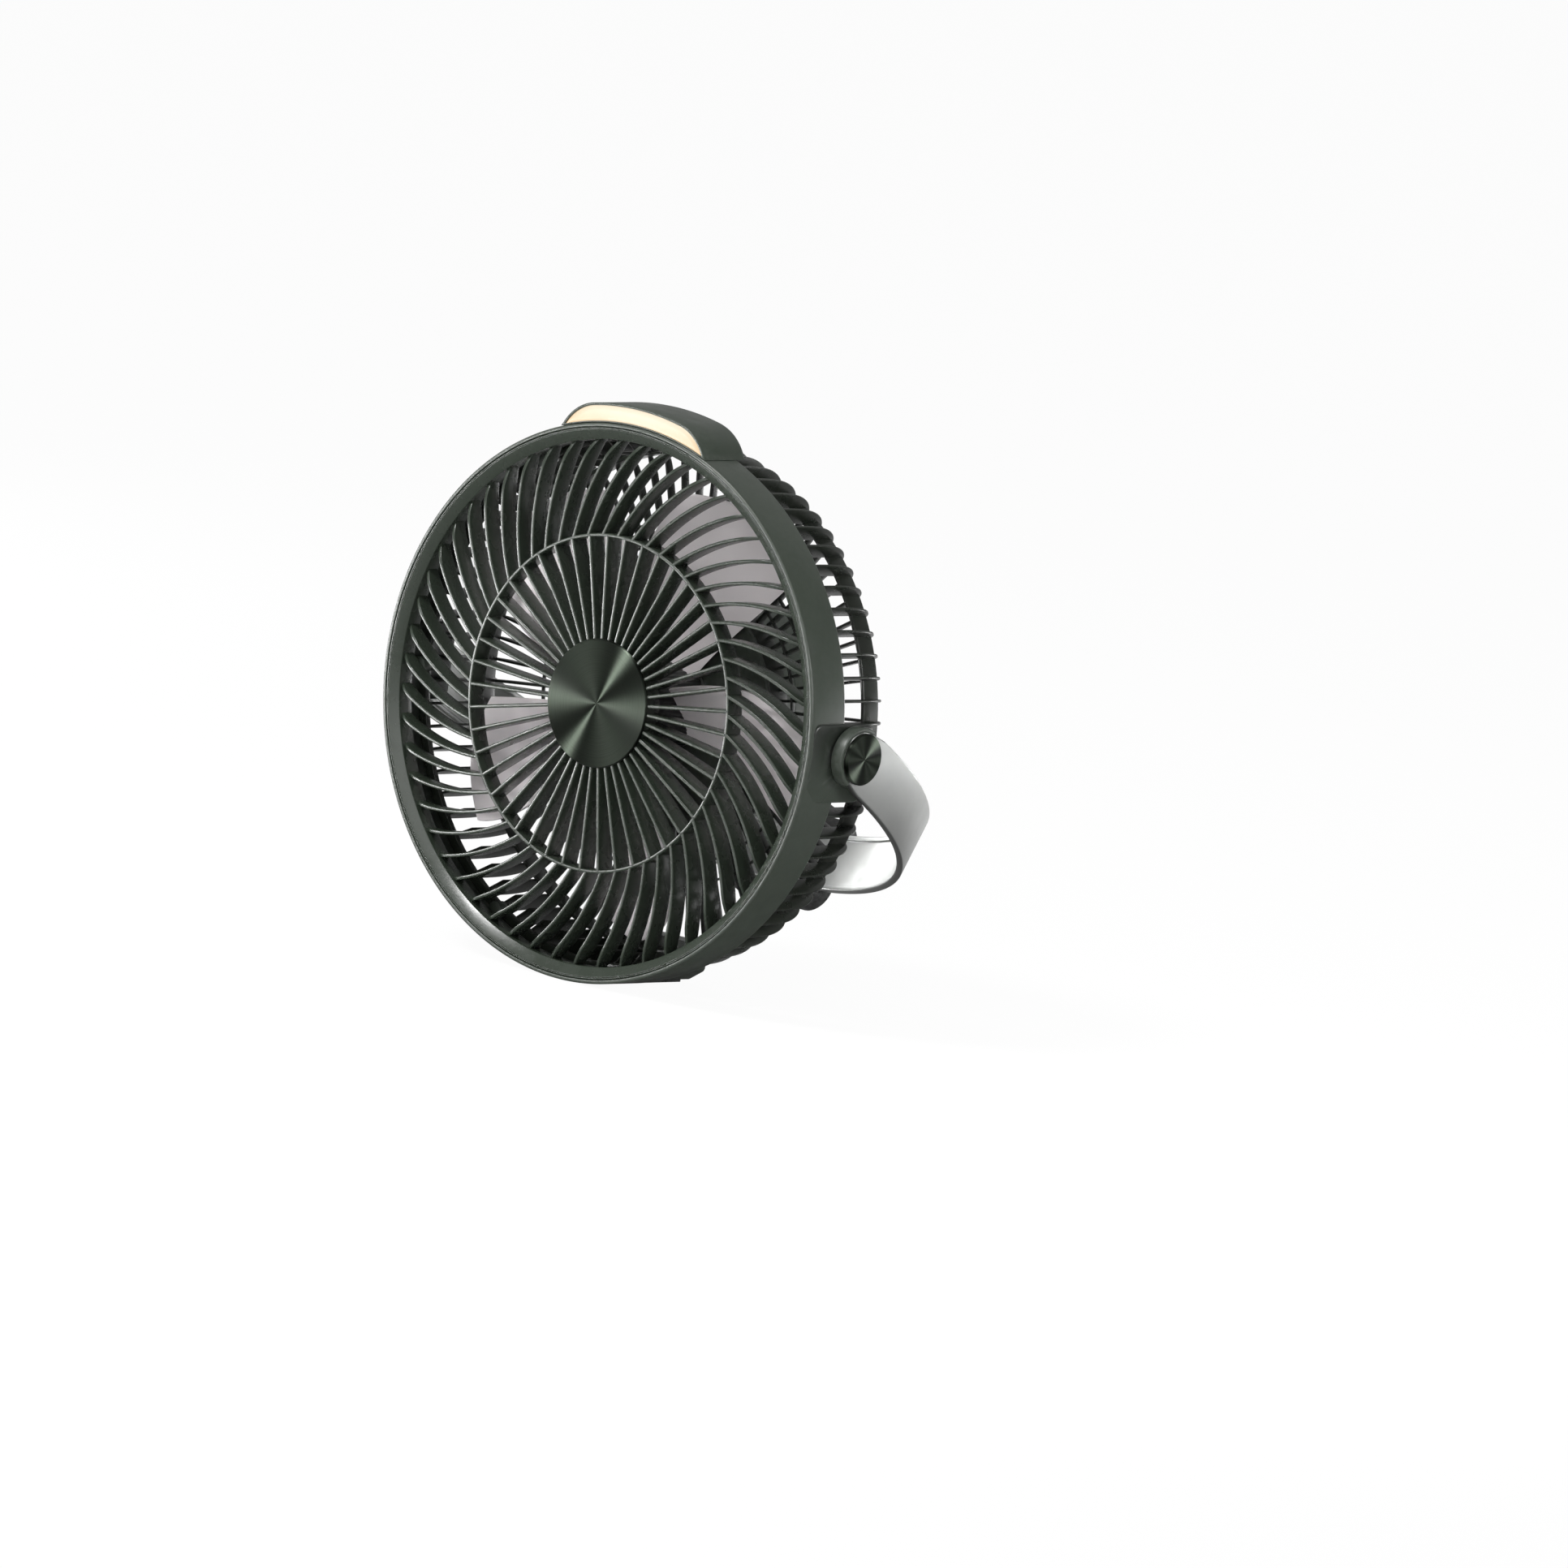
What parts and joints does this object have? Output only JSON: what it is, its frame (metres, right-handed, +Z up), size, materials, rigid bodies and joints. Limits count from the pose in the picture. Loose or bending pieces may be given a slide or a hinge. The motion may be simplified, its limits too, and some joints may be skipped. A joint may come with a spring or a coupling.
{
  "type": "portable camping fan",
  "caption": "Round battery camping fan with a swirl guard, a lamp on the rim, a finned rear cage and a hoop stand that swings on side pivots.",
  "frame": {"origin": "underside of the foot pad, on the table, right below the stand's pivot axis", "axes": "+X to the fan's right as seen from its front, -Y the way the air leaves, +Z up"},
  "size_m": [0.2382, 0.1477, 0.2278],
  "materials": {
    "shell_green": "satin dark olive green moulding",
    "guard_green": "satin dark olive green ribs",
    "spun_green": "dark green anodised disc with a fine radial spin",
    "lens": "warm white diffuser",
    "board": "circuit board",
    "led": "LED package",
    "blade_grey": "light warm grey moulding",
    "stand_satin": "satin bead-blasted aluminium strip",
    "rubber_dark": "dark rubber",
    "steel": "plain steel",
    "copper": "enamelled copper winding",
    "magnet": "sintered magnet",
    "cell_wrap": "shrink-wrapped cell",
    "tray": "black tray",
    "washer": "friction washer",
    "light_pipe": "clear light pipe",
    "button": "soft-touch button"
  },
  "bodies": {
    "body": {"body_band": "shell_green", "front_grille": "guard_green", "hub_cap": "spun_green", "lamp_housing": "shell_green", "lamp_lens": "lens", "lamp_board": "board", "lamp_leds": "led", "rear_cage": "guard_green", "rear_rings": "guard_green", "cage_screws": "steel", "foot": "shell_green", "foot_pad": "rubber_dark", "rear_housing": "shell_green", "rear_cover": "shell_green", "cover_screws": "steel", "motor_can": "steel", "motor_screws": "steel", "motor_bearings": "steel", "motor_winding": "copper", "battery_holder": "tray", "battery_cells": "cell_wrap", "control_board": "board", "button_switches": "tray", "charge_port": "steel", "charge_lights": "light_pipe", "pivot_screws": "steel", "pivot_washers": "washer"},
    "rotor": {"fan_rotor": "blade_grey", "rotor_cap": "tray", "motor_shaft": "steel", "motor_magnet": "magnet"},
    "stand": {"stand_band": "stand_satin", "stand_plate": "tray", "stand_pad": "rubber_dark", "plate_screws": "steel", "stand_hub_right": "shell_green", "stand_hub_left": "shell_green", "pivot_cap_right": "spun_green", "pivot_cap_left": "spun_green"},
    "speed_key": {"speed_button": "button"},
    "lamp_key": {"lamp_button": "button"}
  },
  "joints": [
    {"name": "rotor_spin", "type": "hinge", "parent": "body", "child": "rotor", "pos_m": [0, 0, 0.11], "axis": [0, 1, 0], "continuous": true},
    {"name": "stand_swing", "type": "hinge", "parent": "body", "child": "stand", "pos_m": [0, 0, 0.11], "axis": [1, 0, 0], "range_deg": [-60.2, 119.8]},
    {"name": "speed_button_press", "type": "slide", "parent": "body", "child": "speed_key", "axis": [0, -1, 0], "range_m": [0, 0.0008], "stiffness_N_per_m": 1500},
    {"name": "lamp_button_press", "type": "slide", "parent": "body", "child": "lamp_key", "axis": [0, -1, 0], "range_m": [0, 0.0008], "stiffness_N_per_m": 1500}
  ]
}
